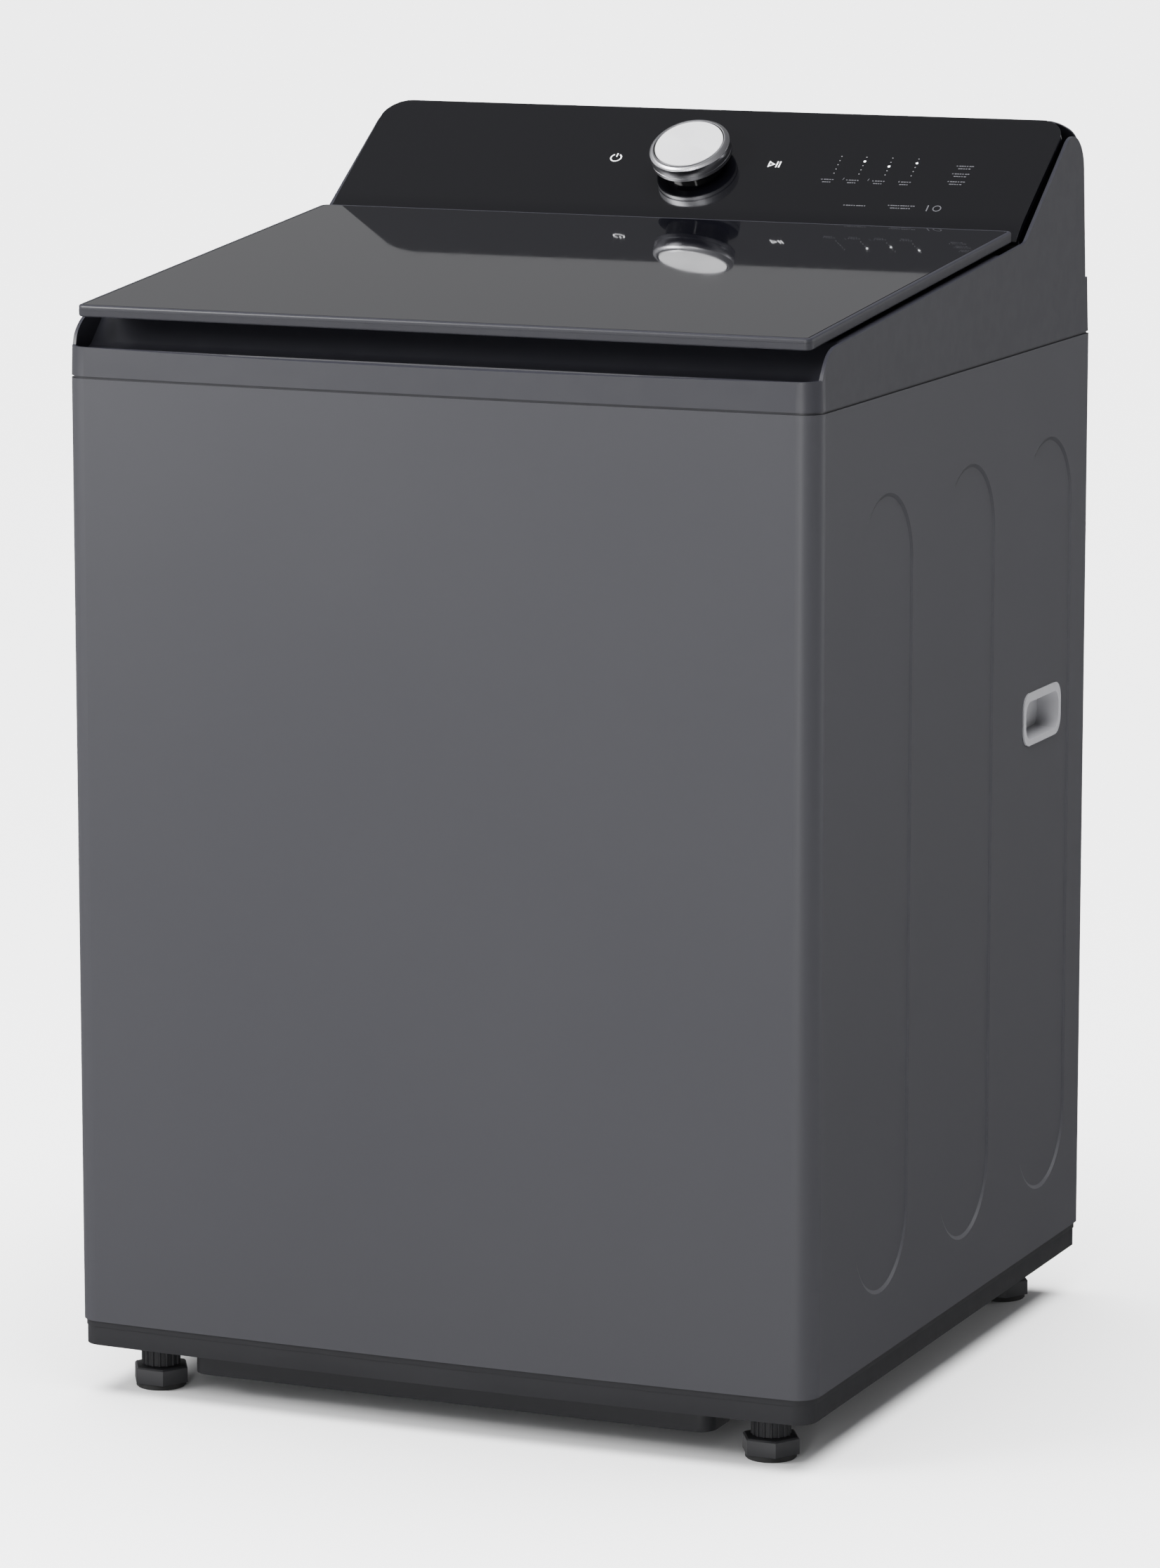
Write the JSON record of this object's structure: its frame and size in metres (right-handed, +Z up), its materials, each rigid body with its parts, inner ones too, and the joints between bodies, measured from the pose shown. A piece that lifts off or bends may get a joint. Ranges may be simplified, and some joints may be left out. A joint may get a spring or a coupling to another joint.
{
  "type": "top load washing machine",
  "caption": "Free-standing top load washing machine: steel cabinet, sloped dark glass lid over a suspended tub and spinning basket, raised console with a turning knob.",
  "frame": {"origin": "on the floor under the middle of the machine's bounding box", "axes": "+Z up, front with the lid's finger recess towards -Y, +X to the right of a person facing the front"},
  "size_m": [0.69, 0.694, 1.0893],
  "materials": {
    "cabinet_steel": "satin",
    "back_steel": "satin",
    "cover_plastic": "satin",
    "base_plastic": "matte",
    "console_gloss": "gloss",
    "lid_glass": "polished glass, dark",
    "grip_plastic": "satin",
    "knob_metal": "spun",
    "knob_silver": "satin",
    "rubber": "matte",
    "foot_plastic": "satin",
    "steel": "brushed",
    "zinc": "zinc",
    "tub_plastic": "matte",
    "white_plastic": "satin",
    "blue_plastic": "satin",
    "motor_steel": "satin",
    "pcb": "satin"
  },
  "bodies": {
    "cabinet": {"cabinet_shell": "cabinet_steel", "back_panel": "back_steel", "back_screws": "zinc", "base_frame": "base_plastic", "front_skirt": "base_plastic", "foot_lock_nuts": "base_plastic", "left_grip": "grip_plastic", "right_grip": "grip_plastic", "top_cover": "cover_plastic", "console_panel": "console_gloss", "console_back_cover": "cover_plastic", "lid_brackets": "base_plastic", "lid_bumpers": "rubber", "lid_lock_housing": "base_plastic", "knob_collar": "console_gloss", "display_board": "pcb", "control_tray": "base_plastic", "control_board": "pcb", "inlet_valves": "white_plastic", "inlet_pipes": "rubber", "dispenser_housing": "white_plastic", "suspension_hangers": "zinc", "suspension_rods": "zinc", "suspension_springs": "zinc", "drain_pump": "base_plastic", "drain_pipe": "rubber", "drain_port": "base_plastic", "sump_bellows": "rubber", "cord_gland": "rubber"},
    "lid": {"lid_glass": "lid_glass", "lid_frame": "cover_plastic", "lid_hinges": "base_plastic", "lid_striker": "zinc"},
    "knob": {"knob_ring": "knob_silver", "knob_disc": "knob_metal"},
    "lock_bolt": {"lid_lock_bolt": "zinc"},
    "drawer": {"dispenser_drawer": "blue_plastic"},
    "tub": {"outer_tub": "tub_plastic", "tub_cover": "tub_plastic", "damper_caps": "base_plastic", "bearing_housing": "motor_steel", "bearings": "steel", "stator": "motor_steel"},
    "wash_basket": {"basket": "steel", "basket_hub": "motor_steel", "balance_ring": "white_plastic", "lint_filters": "white_plastic"},
    "pulsator": {"wash_plate": "white_plastic", "wash_plate_cap": "steel", "rotor": "motor_steel", "wash_shaft": "steel"},
    "impeller": {"pump_impeller": "white_plastic"},
    "foot_front_left": {"foot_front_left": "foot_plastic", "foot_pad_front_left": "rubber"},
    "foot_front_right": {"foot_front_right": "foot_plastic", "foot_pad_front_right": "rubber"},
    "foot_rear_left": {"foot_rear_left": "foot_plastic", "foot_pad_rear_left": "rubber"},
    "foot_rear_right": {"foot_rear_right": "foot_plastic", "foot_pad_rear_right": "rubber"}
  },
  "joints": [
    {"name": "lid_hinge", "type": "hinge", "parent": "cabinet", "child": "lid", "pos_m": [0, 0.135, 0.981], "axis": [-1, 0, 0], "range_deg": [0, 100]},
    {"name": "knob_turn", "type": "hinge", "parent": "cabinet", "child": "knob", "pos_m": [0, 0.23653, 1.04447], "axis": [0, -0.5664, 0.8241], "continuous": true},
    {"name": "lock_bolt_slide", "type": "slide", "parent": "cabinet", "child": "lock_bolt", "axis": [-1, 0, 0], "range_m": [0, 0.009]},
    {"name": "drawer_slide", "type": "slide", "parent": "cabinet", "child": "drawer", "axis": [0, -1, 0], "range_m": [0, 0.1]},
    {"name": "tub_bounce", "type": "slide", "parent": "cabinet", "child": "tub", "axis": [0, 0, 1], "range_m": [-0.03, 0.008], "stiffness_N_per_m": 24000, "springref_m": 0.01794, "deforming": ["suspension_springs", "sump_bellows"]},
    {"name": "basket_spin", "type": "hinge", "parent": "tub", "child": "wash_basket", "pos_m": [0, -0.01, 0.2], "axis": [0, 0, 1], "continuous": true},
    {"name": "pulsator_turn", "type": "hinge", "parent": "tub", "child": "pulsator", "pos_m": [0, -0.01, 0.2], "axis": [0, 0, 1], "continuous": true},
    {"name": "impeller_spin", "type": "hinge", "parent": "cabinet", "child": "impeller", "pos_m": [0.2, -0.15, 0.08], "axis": [0, 0, 1], "continuous": true},
    {"name": "foot_front_left_screw", "type": "slide", "parent": "cabinet", "child": "foot_front_left", "axis": [0, 0, -1], "range_m": [0, 0.015]},
    {"name": "foot_front_right_screw", "type": "slide", "parent": "cabinet", "child": "foot_front_right", "axis": [0, 0, -1], "range_m": [0, 0.015]},
    {"name": "foot_rear_left_screw", "type": "slide", "parent": "cabinet", "child": "foot_rear_left", "axis": [0, 0, -1], "range_m": [0, 0.015]},
    {"name": "foot_rear_right_screw", "type": "slide", "parent": "cabinet", "child": "foot_rear_right", "axis": [0, 0, -1], "range_m": [0, 0.015]}
  ]
}
